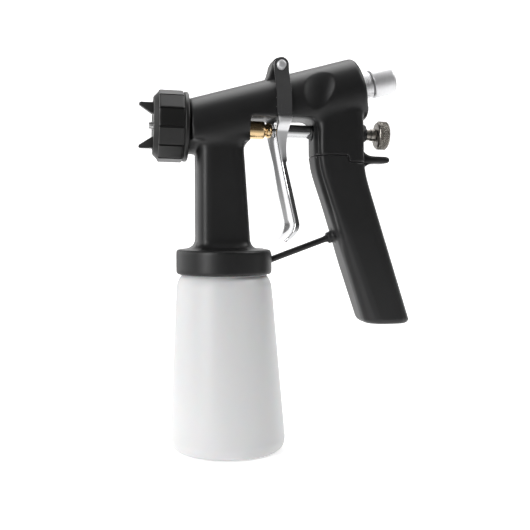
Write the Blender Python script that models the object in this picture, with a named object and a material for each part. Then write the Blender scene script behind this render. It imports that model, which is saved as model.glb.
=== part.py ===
"""Turbine spray gun with a screw-on paint cup, made as separate pieces.

Sizes below are in millimetres and the scene is in metres, with +Z up and the nozzle towards -X.
The origin is the centre of the cup's base. Two tilted frames carry most of the pieces: the spray axis,
which holds the nozzle, the needle and the control screw, and the air barrel's axis.
"""

import math

import bmesh
import bpy
from mathutils import Vector

MM = 0.001
GAP = 0.3  # clearance between neighbouring pieces

# Cup and lid
CUP_BASE_RADIUS = 34.4
CUP_TOP_RADIUS = 28.5
CUP_SHOULDER_HEIGHT = 104.1
CUP_NECK_RADIUS = 25.0
CUP_NECK_TOP = 115.3
CUP_WALL = 1.8
CUP_FOOT_ROUNDING = 7.0
LID_OFFSET = -2.1  # the lid's axis stands this far in front of the base's centre
LID_RADIUS = 28.3
LID_BOTTOM = 104.8
LID_TOP = 119.5
LID_CEILING = 117.0

# Spray axis: its height above the origin, and how far it drops towards the rear
SPRAY_HEIGHT = 190.35
SPRAY_TILT = math.radians(1.5)

# Air barrel: a cylinder that climbs towards the rear
BARREL_HEIGHT = 193.9
BARREL_TILT = math.radians(15.0)
BARREL_RADIUS = 18.9
BARREL_REAR = 82.8
HOSE_RISE = 1.1  # the hose fitting sits this far above the barrel's axis

# Front block, neck and the open gap in which the needle works
BLOCK_FRONT = -22.6
BLOCK_REAR = 11.4
BLOCK_BOTTOM = 182.4
BLOCK_HALF_WIDTH = 16.5
NECK_FRONT = -18.6
NECK_REAR_TOP = 8.7
NECK_REAR_BOTTOM = 12.4
NECK_HALF_WIDTH = 15.5
NECK_FOOT = 124.8
GAP_ROOF = 196.3
ROOF_FILLET = 4.0
NOSE_RADIUS = 15.8

# Handle: upright at the top, then bent back
HANDLE_FRONT = 50.9
HANDLE_REAR = 80.3
HANDLE_HALF_WIDTH = 16.0
FRONT_SLOPE = 0.3235
REAR_SLOPE = 0.333
FRONT_BEND_HEIGHT = 169.2
REAR_BEND_HEIGHT = 167.0
BEND_SOFTNESS = 3.6
HANDLE_BOTTOM = 74.0
GRIP_WALL = 3.0
BOLT_X = 65.5
SEAM_HEIGHT = 174.7
SEAM_STEP = 4.0
SEAM_STEP_X = 70.0
SPUR_HALF_WIDTH = 7.0

# Trigger
PIVOT_X = 30.35
PIVOT_HEIGHT = 226.8
LUG_HALF_WIDTH = 8.3
ARM_HALF_DEPTH = 4.35
SHEET = 1.6
FOLD = 1.3  # rounding of the blade's long edges
BLADE_TOP = 195.0
BLADE_BOTTOM = 124.6
BLADE_ROWS = 18
FLANGE_END = 171.0
ARM_TOP_Y = 11.8
ARM_SIDE_Y = 21.0

# Straight brace between the lid and the grip
BRACE_RADIUS = 1.85
BRACE_START = Vector((24.7, 0.0, 112.45))
BRACE_END = Vector((64.6, 0.0, 126.95))

# What hangs in the cup
PICKUP_X = -4.0
PICKUP_RADIUS = 3.2
VALVE_X = -15.0

# Horns on the air cap
HORN_TIP_RADIUS = 13.2
HORN_HALF_WIDTH = 3.6

# Cap ring: a faceted band with a round inside
RING_FACETS = 12
RING_FACET_RADIUS = 20.3
RING_GROOVE = 0.9
RING_BAND_FRONT = -40.9
RING_BAND_REAR = -26.3
RING_BAND_INSIDE = 18.2

# Small holes, each a clearance over its pin
BOLT_HOLE_RADIUS = 2.3
PIN_HOLE_RADIUS = 2.3

# Sides of the turned forms
FINE = 44
MEDIUM = 32
COARSE = 20

COLOURS = {
    "black_body": ((0.018, 0.018, 0.018, 1), 0.42, 0.0),
    "black_grip": ((0.020, 0.020, 0.020, 1), 0.50, 0.0),
    "black_ring": ((0.022, 0.022, 0.019, 1), 0.38, 0.0),
    "chrome": ((0.80, 0.80, 0.80, 1), 0.08, 1.0),
    "steel": ((0.55, 0.55, 0.54, 1), 0.25, 1.0),
    "brass": ((0.72, 0.48, 0.20, 1), 0.22, 1.0),
    "nickel": ((0.42, 0.38, 0.33, 1), 0.32, 1.0),
    "satin_aluminium": ((0.78, 0.78, 0.78, 1), 0.35, 1.0),
    "cup_plastic": ((0.86, 0.87, 0.88, 1), 0.40, 0.0),
    "clear_tube": ((0.80, 0.82, 0.82, 1), 0.30, 0.0),
    "seal_rubber": ((0.03, 0.03, 0.03, 1), 0.70, 0.0),
    "packing_white": ((0.85, 0.84, 0.80, 1), 0.50, 0.0),
}


# ---------------------------------------------------------------- tools


def clear_scene():
    for obj in list(bpy.data.objects):
        bpy.data.objects.remove(obj)


def material(name):
    found = bpy.data.materials.get(name)
    if found:
        return found
    colour, roughness, metallic = COLOURS[name]
    made = bpy.data.materials.new(name)
    made.use_nodes = True
    made.diffuse_color = colour
    shader = made.node_tree.nodes["Principled BSDF"]
    shader.inputs["Base Color"].default_value = colour
    shader.inputs["Roughness"].default_value = roughness
    shader.inputs["Metallic"].default_value = metallic
    return made


def add_frame(name, place, tilt=0.0):
    """An empty whose X axis is tilted in the XZ plane; a positive tilt drops towards the rear."""
    empty = bpy.data.objects.new(name, None)
    empty.location = Vector(place) * MM
    empty.rotation_euler = (0.0, tilt, 0.0)
    bpy.context.scene.collection.objects.link(empty)
    return empty


def add_object(name, form, finish, parent=None, sharp_angle=35):
    """Makes an object from a bmesh in millimetres, in triangles so that every face is flat."""
    bmesh.ops.triangulate(form, faces=form.faces)
    bmesh.ops.recalc_face_normals(form, faces=form.faces)
    if form.calc_volume(signed=True) < 0:
        bmesh.ops.reverse_faces(form, faces=form.faces)
    bmesh.ops.scale(form, vec=(MM, MM, MM), verts=form.verts)
    mesh = bpy.data.meshes.new(name)
    form.to_mesh(mesh)
    form.free()
    mesh.shade_smooth()
    mesh.set_sharp_from_angle(angle=math.radians(sharp_angle))
    if finish:
        mesh.materials.append(material(finish))
    obj = bpy.data.objects.new(name, mesh)
    obj.parent = parent
    bpy.context.scene.collection.objects.link(obj)
    return obj


def hide_helper(obj):
    obj.hide_render = True
    obj.display_type = "WIRE"
    return obj


def combine(target, helper, operation):
    modifier = target.modifiers.new(f"{operation.lower()}_{helper.name}", "BOOLEAN")
    modifier.operation = operation
    modifier.solver = "EXACT"
    modifier.object = hide_helper(helper)


def cut(target, *helpers):
    for helper in helpers:
        combine(target, helper, "DIFFERENCE")


def join(target, *helpers):
    for helper in helpers:
        combine(target, helper, "UNION")


def arc(centre, radius, start_deg, end_deg, steps):
    """Points (a, b) on an arc around centre."""
    points = []
    for i in range(steps + 1):
        angle = math.radians(start_deg + (end_deg - start_deg) * i / steps)
        points.append((centre[0] + radius * math.cos(angle), centre[1] + radius * math.sin(angle)))
    return points


def turned(outline, sides, upright=False):
    """A turned form around X, or around Z if upright. The outline's points are (along, radius)."""
    form = bmesh.new()
    verts = []
    for along, radius in outline:
        place = (radius, 0.0, along) if upright else (along, 0.0, radius)
        verts.append(form.verts.new(place))
    ring_shaped = all(radius > 0 for along, radius in outline)
    ends = verts[1:] + (verts[:1] if ring_shaped else [])
    edges = [form.edges.new((first, second)) for first, second in zip(verts, ends)]
    bmesh.ops.spin(
        form,
        geom=verts + edges,
        cent=(0, 0, 0),
        axis=(0, 0, 1) if upright else (1, 0, 0),
        angle=math.tau,
        steps=sides,
        use_merge=True,
    )
    bmesh.ops.remove_doubles(form, verts=form.verts, dist=1e-4)
    return form


def tube_outline(start, end, inner, outer):
    return [(start, inner), (start, outer), (end, outer), (end, inner)]


def rod_outline(start, end, radius):
    return [(start, 0), (start, radius), (end, radius), (end, 0)]


def box(low, high):
    form = bmesh.new()
    bmesh.ops.create_cube(form, size=1.0)
    size = Vector(high) - Vector(low)
    bmesh.ops.scale(form, vec=size, verts=form.verts)
    bmesh.ops.translate(form, vec=(Vector(high) + Vector(low)) / 2, verts=form.verts)
    return form


def slab(outline, low_y, high_y):
    """An outline in X and Z, extruded from low_y to high_y."""
    form = bmesh.new()
    face = form.faces.new([form.verts.new((x, low_y, z)) for x, z in outline])
    extruded = bmesh.ops.extrude_face_region(form, geom=[face])
    moved = [item for item in extruded["geom"] if isinstance(item, bmesh.types.BMVert)]
    bmesh.ops.translate(form, vec=(0, high_y - low_y, 0), verts=moved)
    return form


def rounded_section(front, rear, half_width, rounding, steps=4):
    """Points (x, y) of a rounded rectangle between two X values."""
    points = []
    corners = (
        (rear - rounding, half_width - rounding, 0),
        (front + rounding, half_width - rounding, 90),
        (front + rounding, rounding - half_width, 180),
        (rear - rounding, rounding - half_width, 270),
    )
    for x, y, turn in corners:
        points += arc((x, y), rounding, turn, turn + 90, steps)
    return points


def loft(sections):
    """A closed form through sections given as (height, [(x, y), ...]) with equal point counts."""
    form = bmesh.new()
    rings = []
    for height, points in sections:
        rings.append([form.verts.new((x, y, height)) for x, y in points])
    for lower, upper in zip(rings, rings[1:]):
        for i in range(len(lower)):
            j = (i + 1) % len(lower)
            form.faces.new((lower[i], lower[j], upper[j], upper[i]))
    form.faces.new(rings[0])
    form.faces.new(rings[-1])
    return form


def round_bar(start, end, radius, sides):
    """A plain cylinder between two points."""
    form = bmesh.new()
    line = Vector(end) - Vector(start)
    bmesh.ops.create_cone(
        form, cap_ends=True, segments=sides, radius1=radius, radius2=radius, depth=line.length
    )
    bmesh.ops.rotate(form, matrix=line.to_track_quat("Z", "Y").to_matrix(), verts=form.verts)
    bmesh.ops.translate(form, vec=(Vector(start) + Vector(end)) / 2, verts=form.verts)
    return form


# ---------------------------------------------------------------- handle shape


def bend(height, bend_height, slope):
    """How far the handle has leaned back at a height: nothing above the bend, then a straight slope."""
    drop = (bend_height - height) / BEND_SOFTNESS
    return slope * BEND_SOFTNESS * math.log1p(math.exp(drop))


def handle_section(height, inset=0.0):
    front = HANDLE_FRONT + bend(height, FRONT_BEND_HEIGHT, FRONT_SLOPE) + inset
    rear = HANDLE_REAR + bend(height, REAR_BEND_HEIGHT, REAR_SLOPE) - inset
    share = (SEAM_HEIGHT - height) / (SEAM_HEIGHT - HANDLE_BOTTOM)
    rounding = 5.0 + 5.0 * min(max(share, 0.0), 1.0) - 0.5 * inset
    return rounded_section(front, rear, HANDLE_HALF_WIDTH - inset, rounding)


# ---------------------------------------------------------------- body


def barrel_form():
    rear = BARREL_REAR
    outline = [(BLOCK_FRONT - 14, 0), (BLOCK_FRONT - 14, BARREL_RADIUS)]
    outline += [(rear - 2.2, BARREL_RADIUS), (rear - 0.6, BARREL_RADIUS - 0.7)]
    outline += [(rear, BARREL_RADIUS - 2.2), (rear, 0)]
    return turned(outline, FINE)


def neck_form():
    """The upright neck: a rounded section that flares into the lid."""
    sections = []
    flare_steps = 5
    flare_radius = NECK_FOOT - LID_TOP
    for i in range(flare_steps + 1):
        angle = math.radians(90) * i / flare_steps
        spread = flare_radius * (1 - math.sin(angle))
        height = LID_TOP + 0.15 + flare_radius * (1 - math.cos(angle))
        points = rounded_section(
            NECK_FRONT - spread, NECK_REAR_BOTTOM + spread, NECK_HALF_WIDTH + spread, 7.0 + spread
        )
        sections.append((height, points))
    sections.insert(0, (LID_TOP - 1.5, sections[0][1]))
    upper = rounded_section(NECK_FRONT, NECK_REAR_TOP, NECK_HALF_WIDTH, 7.0)
    sections.append((BLOCK_BOTTOM - 3.3, upper))
    chamfered = rounded_section(NECK_FRONT, BLOCK_REAR - 0.2, NECK_HALF_WIDTH, 5.0)
    sections.append((BLOCK_BOTTOM + 0.4, chamfered))
    sections.append((BLOCK_BOTTOM + 6, chamfered))
    return loft(sections)


def lug_outline():
    """The pivot lug's side: a sloping front and a top that is round about the pin."""
    top = arc((PIVOT_X, PIVOT_HEIGHT), 5.1, 15, 135, 6)
    return [(22.4, 214.0), (35.0, 214.0), (35.0, 224.0)] + top + [(23.0, 218.8)]


def spur_outline():
    """The rest for the hand's web: a flat spur with a round end and a wide root."""
    bottom = SEAM_HEIGHT - SEAM_STEP
    tip_radius = 2.05
    tip = (96.2, bottom + tip_radius)
    outline = [(76.0, bottom), (tip[0], bottom)]
    outline += arc(tip, tip_radius, -90, 90, 5)[1:]
    outline += [(88.6, tip[1] + tip_radius + 0.2)]
    outline += arc((87.6, 182.3), 7.2, 260, 190, 4)
    outline += [(76.0, 182.0)]
    return outline


def handle_top_form():
    sections = []
    for height in (SEAM_HEIGHT - SEAM_STEP, 174.0, 178.0, 185.0):
        sections.append((height, handle_section(height)))
    for height, rear in ((193.0, 80.0), (201.0, 79.4)):
        sections.append((height, rounded_section(HANDLE_FRONT, rear, HANDLE_HALF_WIDTH, 5.0)))
    return loft(sections)


def bolt_hole_form():
    return round_bar((BOLT_X, 0, 150), (BOLT_X, 0, 183), BOLT_HOLE_RADIUS, 14)


def make_body(spray, barrel, hose):
    body = add_object("gun_body", barrel_form(), "black_body", barrel)

    front_trim = add_object("front_trim", box((-80, -40, 120), (BLOCK_FRONT, 40, 230)), None)
    gap_rear = HANDLE_FRONT + 0.2
    gap_outline = [(BLOCK_REAR, 120), (gap_rear, 120)]
    gap_outline += arc((gap_rear - ROOF_FILLET, GAP_ROOF - ROOF_FILLET), ROOF_FILLET, 0, 90, 5)
    gap_outline += [(BLOCK_REAR, GAP_ROOF)]
    gap_cutter = add_object("gap_cutter", slab(gap_outline, -40, 40), None)
    under_trim = add_object(
        "under_trim", box((-80, -40, 120), (BLOCK_REAR + 1, 40, BLOCK_BOTTOM)), None
    )
    cut(body, front_trim, gap_cutter, under_trim)

    block = add_object(
        "front_block",
        box((BLOCK_FRONT, -BLOCK_HALF_WIDTH, BLOCK_BOTTOM), (BLOCK_REAR, BLOCK_HALF_WIDTH, 193.0)),
        None,
    )
    neck = add_object("neck", neck_form(), None)
    lid_outline = [(LID_BOTTOM, 0), (LID_BOTTOM, LID_RADIUS - 0.6), (LID_BOTTOM + 0.6, LID_RADIUS)]
    lid_outline += [(LID_TOP - 1.0, LID_RADIUS), (LID_TOP, LID_RADIUS - 1.0), (LID_TOP, 0)]
    lid = add_object("lid", turned(lid_outline, FINE, upright=True), None)
    lid.location.x = LID_OFFSET * MM
    nose = add_object("nose", turned(rod_outline(-36.0, -12.0, NOSE_RADIUS), MEDIUM + 2), None, spray)
    lug = add_object("pivot_lug", slab(lug_outline(), -LUG_HALF_WIDTH, LUG_HALF_WIDTH), None)
    handle_top = add_object("handle_top", handle_top_form(), None)
    spur = add_object("spur", slab(spur_outline(), -SPUR_HALF_WIDTH, SPUR_HALF_WIDTH), None)
    collar_seat = add_object("collar_seat", turned(rod_outline(76.0, 84.0, 6.2), 26), None, spray)
    join(body, block, neck, lid, nose, lug, handle_top, spur, collar_seat)

    seam_trim = add_object(
        "seam_trim", box((30, -30, 150), (SEAM_STEP_X, 30, SEAM_HEIGHT)), None
    )
    lid_hollow = add_object(
        "lid_hollow",
        turned(rod_outline(LID_BOTTOM - 3, LID_CEILING, CUP_NECK_RADIUS + 0.4), FINE - 2, upright=True),
        None,
    )
    lid_hollow.location.x = LID_OFFSET * MM
    fluid_way = add_object(
        "fluid_way", round_bar((PICKUP_X, 0, 112), (PICKUP_X, 0, 186), PICKUP_RADIUS + GAP, 16), None
    )
    flat_outline = [(22.9, 125), (22.9, 120.3), (28.2, 114.2), (34, 114.2), (34, 125)]
    lid_flat = add_object("lid_flat", slab(flat_outline, -10, 10), None)
    brace_socket = add_object(
        "brace_socket", round_bar(BRACE_START, BRACE_END, BRACE_RADIUS + GAP, 16), None
    )
    cut(body, seam_trim, lid_hollow, fluid_way, lid_flat, brace_socket)

    front_bores = [(-40, 0), (-40, 13.0), (-14.0, 13.0), (-14.0, 8.8), (2.3, 8.8), (2.3, 1.6)]
    front_bores += [(3.0, 1.6), (3.0, 4.3), (14.0, 4.3), (14.0, 0)]
    rear_bores = [(45, 0), (45, 4.5), (56, 4.5), (56, 5.9), (77.7, 5.9), (77.7, 4.7)]
    rear_bores += [(90, 4.7), (90, 0)]
    needle_way = add_object("needle_way", turned(front_bores, 32), None, spray)
    spring_room = add_object("spring_room", turned(rear_bores, 30), None, spray)
    inlet = [(44.0, 0), (44.0, 6.0), (50.0, 8.0), (BARREL_REAR + 5, 8.0), (BARREL_REAR + 5, 0)]
    air_inlet = add_object("air_inlet", turned(inlet, 28), None, hose)
    air_way = add_object("air_way", turned(rod_outline(-17.0, 58.0, 4.6), 20), None, barrel)
    air_way.location.z = 9.4 * MM
    pin_way = add_object(
        "pin_way",
        round_bar(
            (PIVOT_X, -30, PIVOT_HEIGHT), (PIVOT_X, 30, PIVOT_HEIGHT), PIN_HOLE_RADIUS, COARSE
        ),
        None,
    )
    valve_way = add_object(
        "valve_way", round_bar((VALVE_X, 0, 112), (VALVE_X, 0, 121), 2.0, 14), None
    )
    bolt_way = add_object("bolt_way", bolt_hole_form(), None)
    cut(body, needle_way, spring_room, air_inlet, air_way, pin_way, valve_way, bolt_way)
    return body


# ---------------------------------------------------------------- grip


def make_grip():
    sections = []
    for height, inset in ((HANDLE_BOTTOM, 2.4), (HANDLE_BOTTOM + 0.8, 1.0)):
        sections.append((height, handle_section(height, inset)))
    for height in (76.4, 96.0, 120.0, 144.0, 152.0, 158.0, 163.0, 168.0, SEAM_HEIGHT - GAP):
        sections.append((height, handle_section(height)))
    grip = add_object("handle_grip", loft(sections), "black_grip")

    top = SEAM_HEIGHT - SEAM_STEP - GAP
    root = [(76.0, top + 1.0), (88.6, top + 1.0), (88.6, top)] + arc((87.2, 163.2), 7.0, 92, 170, 4)
    root += [(80.3, 160.0), (76.0, 160.0)]
    spur_root = add_object("spur_root", slab(root, -SPUR_HALF_WIDTH, SPUR_HALF_WIDTH), None)
    boss_start = BRACE_END.lerp(BRACE_START, 0.10)
    boss_end = BRACE_END.lerp(BRACE_START, -0.12)
    brace_boss = add_object("brace_boss", round_bar(boss_start, boss_end, 3.6, COARSE), None)
    join(grip, spur_root, brace_boss)

    step_trim = add_object("step_trim", box((SEAM_STEP_X - GAP, -30, top), (110, 30, 190)), None)
    hollow = []
    for height in (HANDLE_BOTTOM - 4, 80.0, 100.0, 125.0, 146.0, 156.0):
        hollow.append((height, handle_section(height, GRIP_WALL + 1.2)))
    grip_hollow = add_object("grip_hollow", loft(hollow), None)
    hole_end = BRACE_START.lerp(BRACE_END, 1.04)
    rod_hole = add_object(
        "rod_hole", round_bar(BRACE_START, hole_end, BRACE_RADIUS + GAP, 16), None
    )
    bolt_hole = add_object("bolt_hole", bolt_hole_form(), None)
    cut(grip, step_trim, grip_hollow, rod_hole, bolt_hole)

    cap_sections = []
    for rise, inset in ((0.2, 5.0), (0.8, 4.5), (5.0, 4.5)):
        height = HANDLE_BOTTOM + rise
        cap_sections.append((height, handle_section(height, inset)))
    add_object("handle_cap", loft(cap_sections), "black_grip")

    bolt = [(151.8, 0), (151.8, 3.6), (155.7, 3.6), (155.7, 1.9), (181.5, 1.9), (181.5, 0)]
    bolt_obj = add_object("grip_bolt", turned(bolt, COARSE, upright=True), "steel")
    bolt_obj.location.x = BOLT_X * MM


def make_brace():
    start = BRACE_START.lerp(BRACE_END, 0.010)
    add_object("brace_rod", round_bar(start, BRACE_END, BRACE_RADIUS, COARSE), "black_grip")


# ---------------------------------------------------------------- cup and what hangs in it


def make_cup():
    rounding = CUP_FOOT_ROUNDING
    wall = CUP_WALL
    shoulder = CUP_SHOULDER_HEIGHT
    foot = (rounding, CUP_BASE_RADIUS - rounding)
    outline = [(0, 0)] + arc(foot, rounding, 180, 90, 5)
    outline += [(shoulder - 10, CUP_TOP_RADIUS), (shoulder - 5, CUP_TOP_RADIUS - 0.6)]
    outline += [(shoulder - 1.6, CUP_TOP_RADIUS - 1.6), (shoulder, CUP_TOP_RADIUS - 3.0)]
    outline += [(shoulder, CUP_NECK_RADIUS), (CUP_NECK_TOP, CUP_NECK_RADIUS)]
    outline += [(CUP_NECK_TOP, CUP_NECK_RADIUS - wall), (shoulder - 2, CUP_NECK_RADIUS - wall)]
    outline += [(shoulder - 9, CUP_TOP_RADIUS - wall)]
    outline += arc(foot, rounding - wall, 90, 180, 4) + [(wall, 0)]
    form = turned(outline, FINE, upright=True)
    for vert in form.verts:
        share = min(vert.co.z, shoulder) / shoulder
        vert.co.x += LID_OFFSET * share
    add_object("cup", form, "cup_plastic")

    gasket = turned(
        tube_outline(CUP_NECK_TOP + GAP, LID_CEILING - GAP, 20.5, 24.9), MEDIUM, upright=True
    )
    add_object("lid_gasket", gasket, "seal_rubber").location.x = LID_OFFSET * MM
    tube = turned(tube_outline(5.0, 150.0, 2.2, PICKUP_RADIUS), COARSE, upright=True)
    add_object("pickup_tube", tube, "clear_tube").location.x = PICKUP_X * MM
    valve = [(108.0, 0), (108.0, 0.8), (112.5, 2.4), (114.0, 3.2), (116.4, 3.2), (116.4, 1.7)]
    valve += [(119.5, 1.7), (119.5, 0)]
    valve_obj = add_object("check_valve", turned(valve, COARSE, upright=True), "seal_rubber")
    valve_obj.location.x = VALVE_X * MM


# ---------------------------------------------------------------- front end


def facet_outline():
    """Points (y, z) round the band: each flat, then a narrow groove before the next one."""
    step = math.tau / RING_FACETS
    half_flat = RING_FACET_RADIUS * math.tan(step / 2) - RING_GROOVE / 2
    groove_edge = half_flat + 0.12
    groove_depth = RING_FACET_RADIUS - RING_GROOVE
    points = []
    for i in range(RING_FACETS):
        angle = step * (i + 0.5)
        corners = (
            (-groove_edge, groove_depth),
            (-half_flat, RING_FACET_RADIUS),
            (half_flat, RING_FACET_RADIUS),
            (groove_edge, groove_depth),
        )
        for aside, out in corners:
            y = math.cos(angle) * out - math.sin(angle) * aside
            z = math.sin(angle) * out + math.cos(angle) * aside
            points.append((y, z))
    return points


def faceted_band():
    """A hollow prism along X with one flat per facet."""
    outer = facet_outline()
    inner = []
    for y, z in outer:
        share = RING_BAND_INSIDE / math.hypot(y, z)
        inner.append((y * share, z * share))
    form = bmesh.new()
    loops = []
    for points, along in (
        (outer, RING_BAND_FRONT),
        (outer, RING_BAND_REAR),
        (inner, RING_BAND_REAR),
        (inner, RING_BAND_FRONT),
    ):
        loops.append([form.verts.new((along, y, z)) for y, z in points])
    for first, second in zip(loops, loops[1:] + loops[:1]):
        for i in range(len(outer)):
            j = (i + 1) % len(outer)
            form.faces.new((first[i], first[j], second[j], second[i]))
    return form


def make_front_end(spray):
    head = [(-33.8, 3.2), (-33.8, 10.5), (-31.4, 10.5), (-31.4, 8.5), (2.0, 8.5), (2.0, 3.2)]
    fluid_head = add_object("fluid_head", turned(head, 28), "steel", spray)
    port = round_bar((PICKUP_X, 0, -14), (PICKUP_X, 0, 0), 3.0, 16)
    cut(fluid_head, add_object("fluid_port", port, None, spray))

    gasket = turned(tube_outline(-34.8, -34.1, 3.6, 6.4), 24)
    add_object("nozzle_gasket", gasket, "packing_white", spray)

    nozzle = [(-45.9, 1.0), (-45.9, 1.9), (-41.5, 2.4), (-37.6, 5.6), (-35.1, 6.2), (-35.1, 2.9)]
    nozzle += [(-22.0, 2.9), (-22.0, 1.7), (-40.5, 1.7)]
    add_object("fluid_nozzle", turned(nozzle, 28), "steel", spray)

    baffle = turned(tube_outline(-37.9, -36.3, 7.4, 15.6), MEDIUM)
    baffle_obj = add_object("air_baffle", baffle, "steel", spray)
    hole_count, hole_circle = 8, 11.6
    holes = bmesh.new()
    for i in range(hole_count):
        angle = math.tau * i / hole_count
        y, z = hole_circle * math.cos(angle), hole_circle * math.sin(angle)
        hole = round_bar((-40, y, z), (-34, y, z), 1.3, 10)
        mesh = bpy.data.meshes.new("baffle_hole")
        hole.to_mesh(mesh)
        hole.free()
        holes.from_mesh(mesh)
    cut(baffle_obj, add_object("baffle_holes", holes, None, spray))

    cap = [(-38.3, 14.6), (-38.3, 16.6), (-41.0, 16.6), (-41.0, 14.1), (-42.7, 14.1), (-43.3, 13.5)]
    cap += [(-43.3, 2.8), (-41.3, 2.8), (-39.6, 7.0), (-39.6, 14.6)]
    air_cap = add_object("air_cap", turned(cap, MEDIUM), "black_ring", spray)
    horn_side = [(-42.0, 6.4), (-42.0, HORN_TIP_RADIUS), (-50.8, HORN_TIP_RADIUS)]
    horn_side += [(-51.6, HORN_TIP_RADIUS - 0.8), (-51.4, HORN_TIP_RADIUS - 1.8), (-44.5, 6.8)]
    for name, side in (("upper_horn", 1), ("lower_horn", -1)):
        outline = [(along, across * side) for along, across in horn_side]
        horn = slab(outline, -HORN_HALF_WIDTH, HORN_HALF_WIDTH)
        join(air_cap, add_object(name, horn, None, spray))

    ring = [(-23.5, 16.1), (-23.5, 19.4), (-24.1, 20.2), (-26.0, 20.2), (-26.6, 19.5), (-40.6, 19.5)]
    ring += [(-43.6, 16.6), (-43.6, 14.5), (-41.3, 14.5), (-41.3, 17.0), (-38.0, 17.0), (-38.0, 16.1)]
    cap_ring = add_object("cap_ring", turned(ring, 36), "black_ring", spray)
    join(cap_ring, add_object("ring_facets", faceted_band(), None, spray))


# ---------------------------------------------------------------- needle train


def make_needle_train(spray):
    packing = turned(tube_outline(3.3, 8.0, 1.5, 4.0), 20)
    add_object("needle_packing", packing, "packing_white", spray)
    nut = [(8.3, 1.5), (8.3, 4.0), (BLOCK_REAR + GAP, 4.0), (BLOCK_REAR + GAP, 4.8), (12.3, 5.3)]
    nut += [(22.9, 5.3), (23.5, 4.8), (23.5, 3.9), (24.9, 3.9), (25.3, 3.7), (26.1, 3.2), (26.7, 2.3)]
    nut += [(26.9, 1.5)]
    add_object("packing_nut", turned(nut, MEDIUM), "brass", spray)

    needle = [(-45.3, 0), (-45.3, 0.5), (-42.0, 1.2), (62.0, 1.2), (62.0, 0)]
    add_object("needle", turned(needle, 16), "steel", spray)
    sleeve = [(30.6, 1.5), (30.6, 2.4), (31.2, 3.4), (32.4, 4.1), (60.0, 4.1), (60.0, 1.5)]
    add_object("needle_sleeve", turned(sleeve, 28), "chrome", spray)

    turns, per_turn, start, length, radius = 6, 12, 60.9, 12.0, 4.0
    curve = bpy.data.curves.new("needle_spring", "CURVE")
    curve.dimensions = "3D"
    curve.bevel_depth = 0.55 * MM
    curve.bevel_resolution = 1
    curve.use_fill_caps = True
    path = curve.splines.new("POLY")
    path.points.add(turns * per_turn)
    for i, point in enumerate(path.points):
        angle = math.tau * i / per_turn
        along = start + length * i / (turns * per_turn)
        point.co = (along * MM, radius * math.cos(angle) * MM, radius * math.sin(angle) * MM, 1)
    curve.materials.append(material("steel"))
    spring = bpy.data.objects.new("needle_spring", curve)
    spring.parent = spray
    bpy.context.scene.collection.objects.link(spring)

    seat = turned([(73.8, 0), (73.8, 5.5), (75.2, 5.5), (75.2, 0)], 24)
    add_object("spring_seat", seat, "steel", spray)
    bushing = [(78.0, 3.6), (78.0, 4.4), (84.4, 4.4), (85.2, 4.0), (85.2, 3.6)]
    add_object("control_bushing", turned(bushing, 28), "black_body", spray)
    stem = [(75.5, 0), (75.5, 2.4), (78.4, 2.4), (78.4, 3.3), (86.6, 3.3), (86.9, 2.7), (87.9, 2.7)]
    stem += [(88.2, 3.3), (90.7, 3.3), (90.7, 0)]
    add_object("control_stem", turned(stem, 24), "nickel", spray)
    knob = [(91.0, 0), (91.0, 7.3), (91.9, 8.2), (97.2, 8.2), (98.1, 7.3), (98.1, 0)]
    add_object("control_knob", turned(knob, MEDIUM), "nickel", spray)


# ---------------------------------------------------------------- trigger


def blade_front(height):
    """X of the blade's front face at a height: upright at the web, sloping back, then curled forward."""
    drop = max(188.0 - height, 0.0)
    slope = 0.2285 * drop * drop / (drop + 9.0)
    curl = max(135.5 - height, 0.0)
    return 27.3 + slope - 0.068 * curl * curl


def blade_half_width(height):
    """Half of the blade's width: wide at the web, a waist below it, wider again for the fingers."""
    waist = math.exp(-(((height - 170.0) / 11.0) ** 2))
    foot = math.exp(-(((height - 124.5) / 3.6) ** 2))
    shoulder = 1.0 / (1.0 + math.exp(-(height - 187.0) / 2.5))
    return 16.2 - 1.9 * waist - 3.2 * foot + 2.0 * shoulder


def flange_depth(height):
    """How far the sides turn back behind the front face."""
    if height < FLANGE_END:
        return SHEET + 0.8
    share = (height - FLANGE_END) / (BLADE_TOP - FLANGE_END)
    return 3.4 + 4.2 * share**1.5


def blade_ring(height):
    """Points (x, y) round the blade's folded section at a height."""
    front = blade_front(height)
    half = blade_half_width(height)
    rear = front + flange_depth(height)
    outer = [(rear, half), (front + FOLD, half), (front + 0.35, half - 0.4), (front, half - FOLD)]
    inner = [(front + SHEET, half - SHEET - 0.2), (rear, half - SHEET)]
    far_side = outer[::-1] + inner[::-1]
    near_side = [(x, -y) for x, y in inner + outer]
    return near_side + far_side


def about_pivot(x, height):
    return x - PIVOT_X, height - PIVOT_HEIGHT


def blade_form():
    form = bmesh.new()
    rings = []
    for i in range(BLADE_ROWS + 1):
        height = BLADE_TOP + (BLADE_BOTTOM - BLADE_TOP) * i / BLADE_ROWS
        verts = []
        for x, y in blade_ring(height):
            local_x, local_z = about_pivot(x, height)
            verts.append(form.verts.new((local_x, y, local_z)))
        rings.append(verts)
    for upper, lower in zip(rings, rings[1:]):
        for i in range(len(upper)):
            j = (i + 1) % len(upper)
            form.faces.new((upper[i], upper[j], lower[j], lower[i]))
    form.faces.new(rings[0])
    form.faces.new(rings[-1])
    return form


def arm_front_view():
    """Pairs (height, outer y) down one arm: straight at the pin, then out round the barrel."""
    rows = [(PIVOT_HEIGHT + 6, ARM_TOP_Y), (222.6, ARM_TOP_Y), (220.0, 14.2), (216.5, 17.6)]
    rows += [(212.5, 20.1), (208.5, ARM_SIDE_Y), (196.0, ARM_SIDE_Y), (193.0, 20.4)]
    rows += [(190.0, 18.6), (187.5, 17.2)]
    return rows


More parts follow.
